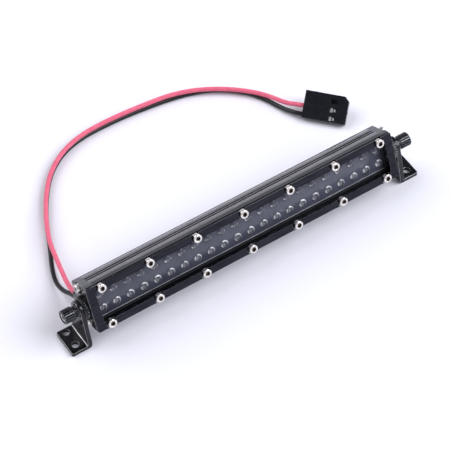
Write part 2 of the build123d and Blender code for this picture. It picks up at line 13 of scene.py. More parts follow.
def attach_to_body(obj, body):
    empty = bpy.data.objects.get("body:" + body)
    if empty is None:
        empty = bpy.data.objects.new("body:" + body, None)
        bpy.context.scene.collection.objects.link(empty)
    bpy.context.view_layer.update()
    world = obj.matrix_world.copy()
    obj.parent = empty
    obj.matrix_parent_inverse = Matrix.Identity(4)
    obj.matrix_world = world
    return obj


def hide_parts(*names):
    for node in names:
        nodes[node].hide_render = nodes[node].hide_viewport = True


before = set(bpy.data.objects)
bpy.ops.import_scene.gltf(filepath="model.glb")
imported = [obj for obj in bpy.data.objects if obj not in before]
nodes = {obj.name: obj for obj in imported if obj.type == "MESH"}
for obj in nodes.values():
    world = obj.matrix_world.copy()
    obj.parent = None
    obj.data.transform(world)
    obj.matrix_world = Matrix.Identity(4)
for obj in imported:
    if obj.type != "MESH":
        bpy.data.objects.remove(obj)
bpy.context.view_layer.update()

MM = 0.001
TILT = math.radians(23.7)
PIVOT = Vector((0, 0.1, 11.6))
FORWARD = Vector((0, -math.cos(TILT), math.sin(TILT)))
UP_FACE = Vector((0, math.sin(TILT), math.cos(TILT)))

# Lamp, as forward positions and heights up the face from the tilt axis
HOUSING_HALF = 47.4
FACE_HALF = 7.2
BODY_FRONT = 3.4
SHOULDER = 1.9
SHOULDER_FLAT = 0.5
BODY_BACK = -5.5
SLOPE = 0.177
EDGE_BREAK = 0.08
LIP_INSIDE = 6.75
LAND = 2.1
SEAT_HALF = 5.5
CAVITY_HALF = 3.9
CAVITY_BACK = -1.6
LENS_BACK = 0.2
LENS_FACE = 1.2
LENS_EDGE = 0.1
LENS_HALF_LENGTH = 47.9
LENS_HALF_HEIGHT = 4.82
LENS_VIEW_HALF_LENGTH = 47.2
LENS_VIEW_HALF_HEIGHT = 4.54
BEAD = ((-0.05, 0), (0.06, 0.01), (0.06, 0.09), (-0.05, 0.1))  # out of and up the lens
TOP_GROOVES = ((-0.435, -0.885), (-1.695, -2.145))
TOP_GROOVE_DEPTH = 0.5
TOP_GROOVE_FLARE = 0.12
EDGE_GROOVE = (-4.55, -4.85)
EDGE_GROOVE_DEPTH = 0.3
# Middle and half width of a strip of painted highlight on the sloping top
HIGHLIGHT_LINE = -3.98
HIGHLIGHT_HALF = 0.18
REAR_CORNER = ((-5.15, 0.1), (-5.38, 0.3), (BODY_BACK, 0.6))  # place and drop from the top
OUTLINE_MARGIN = 0.1
SUNK = 0.2
REAR_GROOVE_PITCH = 1.9
REAR_GROOVE_HALF = 0.4
REAR_GROOVE_DEPTH = 1.5
SCREW_PITCH = 15.2
SCREW_ROW = 5.8
SPOT_FACE = 3.75
SCREW_HEAD_RADIUS = 1.3
SCREW_HEAD_HEIGHT = 1.4
SCREW_SHANK = 0.7
SOCKET_FLAT = 0.65
LED_COLUMNS = 22
LED_PITCH = 4.35
LED_ROW = 2.17
DOME_BASE = 0.02
DOME_RADIUS = 1.2
DOME_RISE = 0.56
DOME_TURN = 25
CAP_SCREW_FORWARD = -1.3
CAP_SCREW_HEIGHT = 5.35
CAP_SCREW_SEAT = 49.4
PIVOT_HEAD_SEAT = 56.0
KNOB_SEAT = 53.1
KNOB_STEP = 54.0
KNOB_FACE = 57.2
KNOB_RADIUS = 2.03
KNOB_BORE = 1.05
KNOB_SHOULDER = 1.68
KNOB_RECESS = 1.43
KNOB_RECESS_DEPTH = 1.15
KNURL_TEETH = 18
KNURL_DEPTH = 0.17
FOLD_TOP = 3.0
FOLD_SLANT = 0.3

# Material slots of the housing, then of the lens; a knob has its metal, painted shade and a
# slot of wear with a painted highlight
# Housing: its metal, painted shade in grooves, a painted highlight strip and a lip in painted
# shade
METAL, PAINTED_SHADE, PAINTED_HIGHLIGHT, SHADED_LIP = range(4)
# Lens: its sheet, domes, painted shade round them, a painted glint and painted shade on their tops
SHEET, DOME, RING_SHADE, GLINT, TOP_SHADE = range(5)
WEAR_AND_HIGHLIGHT = 2
# Facets of a knurl tooth: painted shade in the valley and a painted highlight on one flank
KNURL_FACETS = (PAINTED_SHADE, PAINTED_SHADE, METAL, WEAR_AND_HIGHLIGHT, METAL, PAINTED_SHADE)

# Arcs of a dome, painted highlights and painted shade: first and last ring, start and width in
# degrees, and material
DOME_ARCS = (
    (3, 5, -50, 150, GLINT),
    (4, 6, 150, 65, GLINT),
    (7, 10, -90, 180, TOP_SHADE),
)

# Plug, leaning on one long edge; lengths run from the wires to the tip
PLUG_CORNER = (42.33, 30.91, 0.0)
PLUG_HEADING = -46.74
PLUG_LEAN = 38.0
PLUG_SLOT_MIDDLE = 3.5
PLUG_PITCH = 2.54
PLUG_THICKNESS = 2.6
CONTACT_SIZE = 1.44
CONTACT_GAP = 0.04
CONTACT_HALF = 0.68
CONTACT_LENGTH = 10.0
# Steps of a contact's profile in painted shade
CONTACT_SHADED_STEPS = (1, 2, 3, 5, 6)  # dark steps of its profile

# Wires, as routes from the grommet to the plug
WIRE_DIAMETER = 1.35
RED_ROUTE = [
    (-48.7, 7.448, 7.938),
    (-48.7, 10.927, 6.411),
    (-47.2, 17.6, 5.0),
    (-45.6, 24.0, 4.0),
    (-44.2, 29.9, 3.5),
    (-41.0, 37.1, 3.3),
    (-36.0, 45.8, 2.06),
    (-30.5, 52.4, 2.06),
    (-23.5, 57.1, 2.06),
    (-16.0, 59.3, 2.06),
    (-8.6, 59.7, 2.06),
    (-1.3, 59.5, 2.06),
    (5.9, 58.9, 2.06),
    (13.3, 58.1, 2.06),
    (20.1, 56.0, 2.06),
    (26.3, 52.7, 2.06),
    (32.0, 48.4, 2.06),
    (37.07, 42.87, 2.2),
    (40.12, 36.12, 2.8),
    (42.043, 34.072, 3.179),
    (43.756, 32.252, 3.179),
]
BLACK_ROUTE = [
    (-48.7, 6.805, 6.473),
    (-48.7, 9.552, 5.267),
    (-49.6, 13.4, 3.0),
    (-49.2, 18.4, 1.2),
    (-47.1, 23.9, 0.68),
    (-44.8, 28.5, 0.68),
    (-42.6, 33.3, 0.68),
    (-40.1, 38.8, 0.68),
    (-35.4, 46.6, 0.68),
    (-29.8, 53.2, 0.68),
    (-22.8, 57.6, 0.68),
    (-15.4, 59.3, 0.68),
    (-8.3, 59.5, 0.68),
    (-1.0, 59.3, 0.68),
    (6.1, 58.6, 0.68),
    (13.3, 57.7, 0.68),
    (20.2, 56.1, 0.68),
    (26.8, 53.5, 0.68),
    (32.5, 49.2, 0.68),
    (36.59, 43.18, 0.68),
    (39.06, 36.32, 0.9),
    (40.585, 32.7, 1.615),
    (42.298, 30.88, 1.615),
]

# Studio colours, shader masks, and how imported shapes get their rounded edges
HORIZON = (0.8, 0.81, 0.87)
OVERHEAD = (0.17, 0.175, 0.2)
PAPER = ((0.835, 0.828, 0.89), (0.845, 0.838, 0.9))
NOISE_LOW = 0.35
NOISE_HIGH = 0.65
EDGE_STARTS = 0.97
EDGE_IS_FULL = 0.80
WELD = 0.0001
BEVEL_ANGLE = 28


def lamp(x, forward, up):
    """Place on the leaning lamp, from millimetres to metres."""
    return (PIVOT + Vector((x, 0, 0)) + FORWARD * forward + UP_FACE * up) * MM


# Camera, lights and floor


def aim(thing, place, target):
    """Put a light at a place, looking at a target."""
    thing.location = place
    thing.rotation_mode = "XYZ"
    thing.rotation_euler = (Vector(target) - Vector(place)).to_track_quat("-Z", "Y").to_euler()


def make_camera():
    data = bpy.data.cameras.new("camera")
    data.lens = 183.04
    data.sensor_width = 36
    data.clip_start = 0.01
    data.clip_end = 10
    camera = bpy.data.objects.new("camera", data)
    bpy.context.scene.collection.objects.link(camera)
    camera.location = (-0.21560, -0.32039, 0.51225)
    camera.rotation_euler = (math.radians(37.66), 0, math.radians(-33.31))
    bpy.context.scene.camera = camera


def softbox(name, place, target, size, power, colour=(1, 1, 1)):
    data = bpy.data.lights.new(name, "AREA")
    data.shape = "RECTANGLE"
    data.size = size[0]
    data.size_y = size[1]
    data.energy = power
    data.color = colour
    light = bpy.data.objects.new(name, data)
    bpy.context.scene.collection.objects.link(light)
    aim(light, place, target)


def make_world():
    """A room that is pale near the horizon and dim overhead."""
    world = bpy.data.worlds.new("studio")
    bpy.context.scene.world = world
    world.use_nodes = True
    tree = world.node_tree
    place = tree.nodes.new("ShaderNodeTexCoord")
    split = tree.nodes.new("ShaderNodeSeparateXYZ")
    height = tree.nodes.new("ShaderNodeMapRange")
    height.inputs["From Min"].default_value = 0.0
    height.inputs["From Max"].default_value = 0.9
    tree.links.new(place.outputs["Generated"], split.inputs["Vector"])
    tree.links.new(split.outputs["Z"], height.inputs["Value"])
    colour = mix_colour(tree, height.outputs["Result"], HORIZON, OVERHEAD)
    tree.links.new(colour, tree.nodes["Background"].inputs["Color"])
    tree.nodes["Background"].inputs["Strength"].default_value = 1.0


def make_studio():
    make_world()
    softbox("key", (-0.42, 0.5, 0.8), target=(0, 0.01, 0), size=(0.8, 0.8), power=5.6)
    softbox(
        "front_fill",
        (0.62, -0.45, 0.85),
        target=(0, 0, 0),
        size=(0.9, 0.9),
        power=12.6,
        colour=(0.95, 0.97, 1.0),
    )
    floor = make_floor()
    bpy.context.scene.view_settings.view_transform = "Standard"


# Mesh helpers


def add_object(name, data):
    thing = bpy.data.objects.new(name, data)
    bpy.context.scene.collection.objects.link(thing)
    return thing


def mesh_object(name, shape, materials, sharp=30):
    """Turn a bmesh into an object, smooth but for edges sharper than an angle."""
    bmesh.ops.recalc_face_normals(shape, faces=shape.faces)
    data = bpy.data.meshes.new(name)
    shape.to_mesh(data)
    shape.free()
    for polygon in data.polygons:
        polygon.use_smooth = True
    data.set_sharp_from_angle(angle=math.radians(sharp))
    for material in materials:
        data.materials.append(material)
    return add_object(name, data)


def make_floor():
    shape = bmesh.new()
    half = 2.0
    corners = [(-half, -half, 0), (half, -half, 0), (half, half, 0), (-half, half, 0)]
    shape.faces.new([shape.verts.new(corner) for corner in corners])
    return mesh_object("floor", shape, [floor_paper()])


def attach(piece, body, node):
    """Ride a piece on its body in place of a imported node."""
    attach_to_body(piece, body)
    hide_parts(node)


def softened(node, body, width, material, edge_material=None, merge=True):
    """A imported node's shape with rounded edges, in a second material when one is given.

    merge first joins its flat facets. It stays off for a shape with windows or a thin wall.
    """
    shape = bmesh.new()
    shape.from_mesh(nodes[node].data)
    bmesh.ops.remove_doubles(shape, verts=shape.verts, dist=WELD * MM)
    if merge:
        bmesh.ops.dissolve_limit(
            shape, angle_limit=math.radians(1), verts=shape.verts, edges=shape.edges
        )
    piece = mesh_object(node + "_finished", shape, [material, edge_material or material])
    edges = piece.modifiers.new("edges", "BEVEL")
    edges.width = width * MM
    edges.segments = 2
    edges.limit_method = "ANGLE"
    edges.angle_limit = math.radians(BEVEL_ANGLE)
    # Rounded edges take the second material: wear with a painted highlight, on the bezel painted
    # shade.
    edges.material = 1
    piece.modifiers.new("shading", "WEIGHTED_NORMAL").keep_sharp = False
    attach(piece, body, node)
    return piece


def paint_fold_highlight(data):
    """Paint a highlight on the radius between a bracket's foot and its leg, in its second
    material.
    """
    for polygon in data.polygons:
        slanted = abs(polygon.normal.x) > FOLD_SLANT and polygon.normal.z > FOLD_SLANT
        if slanted and polygon.center.z < FOLD_TOP * MM:
            polygon.material_index = 1


def face_frame(x, forward, up):
    """Frame on the lamp with z out of the lens and y up the face."""
    frame_matrix = Matrix((Vector((1, 0, 0)), UP_FACE, FORWARD)).transposed().to_4x4()
    frame_matrix.translation = lamp(x, forward, up)
    return frame_matrix


def side_frame(x, forward, up):
    """Frame on a lamp end with z outwards and x forward."""
    outwards = Vector((math.copysign(1, x), 0, 0))
    frame_matrix = Matrix((FORWARD, outwards.cross(FORWARD), outwards)).transposed().to_4x4()
    frame_matrix.translation = lamp(x, forward, up)
    return frame_matrix


def lathe(shape, place, rings, steps=40):
    """Closed turned body, from rings of (height, radius, hexagon, material).

    The radius of a hexagonal ring runs to its flats.
    """
    loops = []
    for height, radius, hexagon, _ in rings:
        loop = []
        for step in range(steps):
            angle = 2 * math.pi * step / steps
            reach = radius
            if hexagon:
                sixth = (angle + math.pi / 6) % (math.pi / 3) - math.pi / 6
                reach = radius / math.cos(sixth)
            point = Vector((reach * math.cos(angle), reach * math.sin(angle), height)) * MM
            loop.append(shape.verts.new(place @ point))
        loops.append(loop)
    for below, above, ring in zip(loops, loops[1:], rings[1:]):
        for step in range(steps):
            after = (step + 1) % steps
            quad = (below[step], below[after], above[after], above[step])
            shape.faces.new(quad).material_index = ring[-1]
    shape.faces.new(list(reversed(loops[0])))
    shape.faces.new(loops[-1]).material_index = rings[-1][-1]


def socket_screw(shape, place, radius, height, shank, length):
    """Socket cap screw standing on its place, its hexagon socket in the second material, a painted
    shade.
    """
    rings = [
        (-length, shank - 0.15, False, 0),
        (-length + 0.15, shank, False, 0),
        (-0.05, shank, False, 0),
        (0.0, radius - 0.06, False, 0),
        (0.06, radius, False, 0),
        (height - 0.26, radius, False, 0),
        (height - 0.12, radius - 0.04, False, 0),
        (height - 0.04, radius - 0.12, False, 0),
        (height, radius - 0.24, False, 0),
        (height, SOCKET_FLAT + 0.1, True, 0),
        (height - 0.05, SOCKET_FLAT, True, 0),
        (height - 0.8, SOCKET_FLAT - 0.01, True, 1),
        (height - 0.95, 0.1, False, 1),
    ]
    lathe(shape, place, rings)


# Materials


def node_material(name):
    material = bpy.data.materials.new(name)
    material.use_nodes = True
    return material, material.node_tree, material.node_tree.nodes["Principled BSDF"]


def noise(tree, scale, stretch=(1, 1, 1), detail=4.0):
    """Noise in object space, stretched along the axes."""
    place = tree.nodes.new("ShaderNodeTexCoord")
    mapping = tree.nodes.new("ShaderNodeMapping")
    mapping.inputs["Scale"].default_value = stretch
    texture = tree.nodes.new("ShaderNodeTexNoise")
    texture.inputs["Scale"].default_value = scale
    texture.inputs["Detail"].default_value = detail
    tree.links.new(place.outputs["Object"], mapping.inputs["Vector"])
    tree.links.new(mapping.outputs["Vector"], texture.inputs["Vector"])
    return texture.outputs["Fac"]


def ramp(tree, value, low, high):
    """Stretch the middle of a noise value over the range low to high."""
    node = tree.nodes.new("ShaderNodeMapRange")
    node.inputs["From Min"].default_value = NOISE_LOW
    node.inputs["From Max"].default_value = NOISE_HIGH
    node.inputs["To Min"].default_value = low
    node.inputs["To Max"].default_value = high
    tree.links.new(value, node.inputs["Value"])
    return node.outputs["Result"]


def mix_colour(tree, factor, first, second):
    """Mix two colours, given as values or as outputs of other nodes."""
    node = tree.nodes.new("ShaderNodeMix")
    node.data_type = "RGBA"
    for socket, value in ((node.inputs[6], first), (node.inputs[7], second)):
        if isinstance(value, tuple):
            socket.default_value = (*value, 1)
        else:
            tree.links.new(value, socket)
    tree.links.new(factor, node.inputs[0])
    return node.outputs[2]


def edge_mask(tree, radius):
    """White where the surface turns over an edge."""
    bevel = tree.nodes.new("ShaderNodeBevel")
    bevel.inputs["Radius"].default_value = radius * MM
    bevel.samples = 4
    geometry = tree.nodes.new("ShaderNodeNewGeometry")
    dot = tree.nodes.new("ShaderNodeVectorMath")
    dot.operation = "DOT_PRODUCT"
    tree.links.new(bevel.outputs["Normal"], dot.inputs[0])
    tree.links.new(geometry.outputs["Normal"], dot.inputs[1])
    node = tree.nodes.new("ShaderNodeMapRange")
    node.inputs["From Min"].default_value = EDGE_STARTS
    node.inputs["From Max"].default_value = EDGE_IS_FULL
    tree.links.new(dot.outputs["Value"], node.inputs["Value"])
    return node.outputs["Result"]


def bump(tree, shader, height, strength, distance):
    node = tree.nodes.new("ShaderNodeBump")
    node.inputs["Strength"].default_value = strength
    node.inputs["Distance"].default_value = distance * MM
    tree.links.new(height, node.inputs["Height"])
    tree.links.new(node.outputs["Normal"], shader.inputs["Normal"])


def floor_paper():
    material, tree, shader = node_material("floor_paper")
    shade = ramp(tree, noise(tree, 3.0), 0, 1)
    colour = mix_colour(tree, shade, *PAPER)
    tree.links.new(colour, shader.inputs["Base Color"])
    shader.inputs["Roughness"].default_value = 0.8
    shader.inputs["Specular IOR Level"].default_value = 0.1
    return material


def anodised(name, dark, light, roughness, streak=(1, 12, 12), edge_colour=(0.42, 0.43, 0.46)):
    """Black anodised aluminium: drawn streaks, a fine matt grain, edges of wear and painted
    highlight.
    """
    material, tree, shader = node_material(name)
    streaks = ramp(tree, noise(tree, 160, streak), 0, 1)
    colour = mix_colour(tree, streaks, dark, light)
    # Edges take their own colour: paler by default, wear with a painted highlight.
    colour = mix_colour(tree, edge_mask(tree, 0.1), colour, edge_colour)
    tree.links.new(colour, shader.inputs["Base Color"])
    tree.links.new(ramp(tree, noise(tree, 900), *roughness), shader.inputs["Roughness"])
    shader.inputs["Metallic"].default_value = 1.0
    bump(tree, shader, noise(tree, 4500), 0.2, 0.015)
    return material


def bright_metal(name, dark, light, roughness, scale=1500):
    """Bare, plated or worn metal with a mottled tone and a fine grain."""
    material, tree, shader = node_material(name)
    colour = mix_colour(tree, ramp(tree, noise(tree, scale), 0, 1), dark, light)
    tree.links.new(colour, shader.inputs["Base Color"])
    tree.links.new(ramp(tree, noise(tree, 2500), *roughness), shader.inputs["Roughness"])
    shader.inputs["Metallic"].default_value = 1.0
    bump(tree, shader, noise(tree, 4000), 0.15, 0.01)
    return material


def moulded(name, dark, light, roughness, grain=3000, depth=0.3, gloss=0.5):
    """Plastic or rubber with a fine moulded grain."""
    material, tree, shader = node_material(name)
    colour = mix_colour(tree, ramp(tree, noise(tree, 700), 0, 1), dark, light)
    tree.links.new(colour, shader.inputs["Base Color"])
    tree.links.new(ramp(tree, noise(tree, 1200), *roughness), shader.inputs["Roughness"])
    shader.inputs["Specular IOR Level"].default_value = gloss
    bump(tree, shader, noise(tree, grain), depth, 0.015)
    return material


def smoky(name, dark, light, roughness, alpha, coat):
    """Hazy, tinted clear moulding with a clear coat."""
    material, tree, shader = node_material(name)
    colour = mix_colour(tree, ramp(tree, noise(tree, 300), 0, 1), dark, light)
    tree.links.new(colour, shader.inputs["Base Color"])
    tree.links.new(ramp(tree, noise(tree, 500), *roughness), shader.inputs["Roughness"])
    shader.inputs["IOR"].default_value = 1.49
    shader.inputs["Alpha"].default_value = alpha
    shader.inputs["Coat Weight"].default_value = coat
    shader.inputs["Coat Roughness"].default_value = 0.03
    return material


# Lamp pieces


def top_surface(forward):
    """Height of the sloping top at a forward position."""
    return FACE_HALF - SLOPE * (SHOULDER - forward)


def land(front, back, crown):
    """Slightly crowned strip of the sloping top between two grooves."""
    points = []
    for step in range(7):
        along = step / 6
        forward = front + (back - front) * along
        points.append((forward, top_surface(forward) + crown * (1 - (2 * along - 1) ** 2)))
    return points


def groove(edges, depth):
    """Bottom of a groove in the sloping top."""
    return [(edge, top_surface(edge) - depth) for edge in edges]


def housing_half():
    """Upper half of the housing's outline, from the lip round to the middle of the back."""
    front_groove, back_groove = TOP_GROOVES
    points = [
        (BODY_FRONT, LIP_INSIDE),
        (BODY_FRONT, FACE_HALF - EDGE_BREAK),
        (BODY_FRONT - EDGE_BREAK, FACE_HALF),
        (SHOULDER + SHOULDER_FLAT, FACE_HALF),
    ]
    points += land(SHOULDER, front_groove[0] + TOP_GROOVE_FLARE, crown=0.06)
    points += groove(front_groove, TOP_GROOVE_DEPTH)
    points += land(
        front_groove[1] - TOP_GROOVE_FLARE, back_groove[0] + TOP_GROOVE_FLARE, crown=0.03
    )
    points += groove(back_groove, TOP_GROOVE_DEPTH)
    points += land(back_groove[1] - TOP_GROOVE_FLARE, EDGE_GROOVE[0], crown=0.08)
    points += groove(EDGE_GROOVE, EDGE_GROOVE_DEPTH)
    rear = top_surface(EDGE_GROOVE[1])
    points.append((EDGE_GROOVE[1], rear))
    points += [(forward, rear - drop) for forward, drop in REAR_CORNER]
    bottom = BODY_BACK + REAR_GROOVE_DEPTH
    for place in (2, 1):
        middle = REAR_GROOVE_PITCH * place
        points += [
            (BODY_BACK, middle + REAR_GROOVE_HALF + EDGE_BREAK),
            (BODY_BACK + EDGE_BREAK, middle + REAR_GROOVE_HALF),
            (bottom, middle + REAR_GROOVE_HALF),
            (bottom, middle - REAR_GROOVE_HALF),
            (BODY_BACK + EDGE_BREAK, middle - REAR_GROOVE_HALF),
            (BODY_BACK, middle - REAR_GROOVE_HALF - EDGE_BREAK),
        ]
    points += [
        (BODY_BACK, REAR_GROOVE_HALF + EDGE_BREAK),
        (BODY_BACK + EDGE_BREAK, REAR_GROOVE_HALF),
        (bottom, REAR_GROOVE_HALF),
    ]
    return points


def in_groove(point):
    """Whether an outline point lies inside the body, in a groove or in the lens pocket."""
    forward, up = point
    sunk = abs(up) < top_surface(forward) - SUNK
    return sunk and EDGE_GROOVE[1] - OUTLINE_MARGIN < forward < SHOULDER


def strip_material(near, far):
    """Material of a strip of the housing between two outline points."""
    middle = (near[0] + far[0]) / 2
    on_top = min(near[1], far[1]) > min(FACE_HALF, top_surface(middle)) - OUTLINE_MARGIN
    # The chamfer at the front edge is painted shade.
    if BODY_FRONT in (near[0], far[0]):
        return PAINTED_SHADE
    # A strip of the sloping top is a painted highlight.
    if on_top and abs(middle - HIGHLIGHT_LINE) < HIGHLIGHT_HALF:
        return PAINTED_HIGHLIGHT
    # The flat strip in front of the slope is painted shade, a darker copy of the housing metal.
    if on_top and middle > SHOULDER:
        return SHADED_LIP
    # Grooves and the lens pocket are painted shade.
    return PAINTED_SHADE if in_groove(near) or in_groove(far) else METAL


def make_housing(materials):
    """Extruded profile with grooves in its top and back and a stepped pocket for the lens."""
    outer = housing_half()
    pocket = [
        (LAND, LIP_INSIDE),
        (LAND, SEAT_HALF),
        (LENS_BACK, SEAT_HALF),
        (LENS_BACK, CAVITY_HALF),
        (CAVITY_BACK, CAVITY_HALF),
    ]
    outline = outer + [(forward, -up) for forward, up in reversed(outer)]
    outline += [(forward, -up) for forward, up in pocket]
    outline += list(reversed(pocket))
    shape = bmesh.new()
    left = [shape.verts.new(lamp(-HOUSING_HALF, *point)) for point in outline]
    right = [shape.verts.new(lamp(HOUSING_HALF, *point)) for point in outline]
    for step in range(len(outline)):
        after = (step + 1) % len(outline)
        face = shape.faces.new((left[step], left[after], right[after], right[step]))
        face.material_index = strip_material(outline[step], outline[after])
    shape.faces.new(left)
    shape.faces.new(list(reversed(right)))
    piece = mesh_object("housing_profile", shape, materials, sharp=25)
    attach(piece, "lamp", "housing_extrusion")


def dome_shade(ring, angle, turn, upper):
    """Dome facet material: painted highlights in an arc and a patch opposite, painted shade on
    top.

    The half of an upper dome next to the bezel is painted shade, as dark as the sheet.
    """
    # The upper dome's half by the bezel is painted shade.
    if upper and angle < math.pi:
        return SHEET
    # The ring round each dome is painted shade.
    if ring < 2:
        return RING_SHADE
    around = math.degrees(angle) - turn
    # The arcs are painted highlights and painted shade.
    for first, last, start, width, material in DOME_ARCS:
        if first <= ring <= last and (around - start) % 360 < width:
            return material
    return DOME


def add_dome(shape, place, turn, upper, steps=28):
    """Shallow dome in a ring, its facets in painted highlights and painted shade."""
    rings = [(-0.04, 1.42), (DOME_BASE, 1.4), (DOME_BASE, 1.22)]
    for step in range(1, 10):
        angle = math.radians(9.5 * step)
        rings.append((DOME_BASE + DOME_RISE * math.sin(angle), DOME_RADIUS * math.cos(angle)))
    loops = []
    for height, radius in rings:
        loop = []
        for step in range(steps):
            angle = 2 * math.pi * step / steps
            point = Vector((radius * math.cos(angle), radius * math.sin(angle), height)) * MM
            loop.append(shape.verts.new(place @ point))
        loops.append(loop)
    for ring, (below, above) in enumerate(zip(loops, loops[1:])):
        for step in range(steps):
            after = (step + 1) % steps
            face = shape.faces.new((below[step], below[after], above[after], above[step]))
            angle = 2 * math.pi * (step + 0.5) / steps
            face.material_index = dome_shade(ring, angle, turn, upper)
    shape.faces.new(list(reversed(loops[0])))
    # The dome's top is painted shade.
    shape.faces.new(loops[-1]).material_index = TOP_SHADE


def make_lens(materials):
    """Sheet with bevelled edges, a bead along its foot in a painted highlight, and a dome over
    each LED.
    """
    shape = bmesh.new()
    loops = []
    sections = (
        (LENS_BACK, LENS_EDGE),
        (LENS_BACK + LENS_EDGE, 0),
        (LENS_FACE - LENS_EDGE, 0),
        (LENS_FACE, LENS_EDGE),
    )
    for forward, inset in sections:
        across = LENS_HALF_LENGTH - inset
        tall = LENS_HALF_HEIGHT - inset
        corners = ((-across, -tall), (across, -tall), (across, tall), (-across, tall))
        loops.append([shape.verts.new(lamp(x, forward, up)) for x, up in corners])
    for below, above in zip(loops, loops[1:]):
        for step in range(4):
            after = (step + 1) % 4
            shape.faces.new((below[step], below[after], above[after], above[step]))
    shape.faces.new(list(reversed(loops[0])))
    shape.faces.new(loops[-1])
    bead = [
        shape.verts.new(lamp(x, LENS_FACE + height, -LENS_VIEW_HALF_HEIGHT + up))
        for x in (-LENS_VIEW_HALF_LENGTH, LENS_VIEW_HALF_LENGTH)
        for height, up in BEAD
    ]
    # The bead is a painted highlight.
    for step in range(4):
        after = (step + 1) % 4
        face = shape.faces.new((bead[step], bead[after], bead[after + 4], bead[step + 4]))
        face.material_index = GLINT
    shape.faces.new(list(reversed(bead[:4])))
    shape.faces.new(bead[4:])
    middle = (LED_COLUMNS - 1) / 2
    for column in range(LED_COLUMNS):
        for row in (-1, 1):
            x = LED_PITCH * (column - middle)
            turn = DOME_TURN * math.sin(7.3 * column + 2.1 * row)
            add_dome(shape, face_frame(x, LENS_FACE, row * LED_ROW), turn, upper=row > 0)
    piece = mesh_object("lens_sheet", shape, materials, sharp=50)
    attach(piece, "lamp", "lens")


def make_bezel_screws(materials):
    """Seven screws along each rail, each with its socket turned its own way."""
    for row, side in (("top", 1), ("bottom", -1)):
        shape = bmesh.new()
        for place in range(-3, 4):
            seat = face_frame(SCREW_PITCH * place, SPOT_FACE, side * SCREW_ROW)
            seat = seat @ Matrix.Rotation(0.7 * place + side, 4, "Z")
            socket_screw(
                shape, seat, SCREW_HEAD_RADIUS, SCREW_HEAD_HEIGHT, SCREW_SHANK, length=3.8
            )
        piece = mesh_object("screw_row_" + row, shape, materials)
        attach(piece, "lamp", "bezel_screws_" + row)


def make_cap_screws(side, sign, materials):
    shape = bmesh.new()
    for up in (CAP_SCREW_HEIGHT, -CAP_SCREW_HEIGHT):
        seat = side_frame(sign * CAP_SCREW_SEAT, CAP_SCREW_FORWARD, up)
        seat = seat @ Matrix.Rotation(up, 4, "Z")
        socket_screw(shape, seat, SCREW_HEAD_RADIUS, SCREW_HEAD_HEIGHT, SCREW_SHANK, length=6.0)
    piece = mesh_object(side + "_cap_screw_heads", shape, materials)
    attach(piece, "lamp", side + "_cap_screws")


def make_knob(side, sign, materials):
    """Thumb screw: plain shoulder, knurled head, and a recessed end."""
    recess = KNOB_FACE - KNOB_RECESS_DEPTH
    # Its edges are paler for wear with a painted highlight, and its recess is painted shade.
    # Distance from the middle of the bar, radius, whether knurled, and material
    rings = [
        (KNOB_SEAT, KNOB_BORE, False, METAL),
        (KNOB_SEAT, 1.6, False, METAL),
        (KNOB_SEAT + EDGE_BREAK, KNOB_SHOULDER, False, METAL),
        (KNOB_STEP, KNOB_SHOULDER, False, METAL),
        (KNOB_STEP, 1.85, False, METAL),
        (KNOB_STEP + 0.15, KNOB_RADIUS, True, WEAR_AND_HIGHLIGHT),
        (KNOB_STEP + 0.2, KNOB_RADIUS, True, METAL),
        (KNOB_FACE - 0.25, KNOB_RADIUS, True, METAL),
        (KNOB_FACE - 0.02, 1.86, False, WEAR_AND_HIGHLIGHT),
        (KNOB_FACE, 1.82, False, METAL),
        (KNOB_FACE, 1.5, False, METAL),
        (KNOB_FACE - EDGE_BREAK, KNOB_RECESS, False, WEAR_AND_HIGHLIGHT),
        (recess, KNOB_RECESS, False, PAINTED_SHADE),
        (recess, KNOB_BORE, False, PAINTED_SHADE),
    ]
    facets = len(KNURL_FACETS)
    steps = facets * KNURL_TEETH
    place = side_frame(sign * KNOB_SEAT, 0, 0)
    shape = bmesh.new()
    loops = []
    for height, radius, knurled, _ in rings:
        loop = []
        for step in range(steps):
            angle = 2 * math.pi * step / steps
            reach = radius - (KNURL_DEPTH if knurled and step % facets < 2 else 0)
            outwards = height - KNOB_SEAT
            point = Vector((reach * math.cos(angle), reach * math.sin(angle), outwards)) * MM
            loop.append(shape.verts.new(place @ point))
        loops.append(loop)
    for below, above, ring in zip(loops, loops[1:] + loops[:1], rings[1:] + rings[:1]):
        _, _, knurled, material = ring
        for step in range(steps):
            after = (step + 1) % steps
            face = shape.faces.new((below[step], below[after], above[after], above[step]))
            face.material_index = material
            # Each tooth has painted shade in its valley and a painted highlight on one flank.
            if knurled and material == METAL:
                face.material_index = KNURL_FACETS[step % facets]
    piece = mesh_object(side + "_thumb_knob", shape, materials, sharp=25)
    attach(piece, side + "_knob", side + "_knob")


def make_pivot_screw(side, sign, materials):
    shape = bmesh.new()
    seat = side_frame(sign * PIVOT_HEAD_SEAT, 0, 0)
    socket_screw(shape, seat, radius=1.4, height=1.0, shank=1.0, length=8.2)
    piece = mesh_object(side + "_pivot_bolt", shape, materials)
    attach(piece, side + "_knob", side + "_pivot_screw")


# Plug


def plug_frame():
    """Frame with x across the plug, y through its thickness and z from the wires to its tip."""
    heading = math.radians(PLUG_HEADING)
    lean = math.radians(PLUG_LEAN)
    along = Vector((math.cos(heading), math.sin(heading), 0))
    level = Vector((-math.sin(heading), math.cos(heading), 0))
    across = math.cos(lean) * level + math.sin(lean) * Vector((0, 0, 1))
    frame_matrix = Matrix((across, along.cross(across), along)).transposed().to_4x4()
    frame_matrix.translation = Vector(PLUG_CORNER) * MM
    return frame_matrix


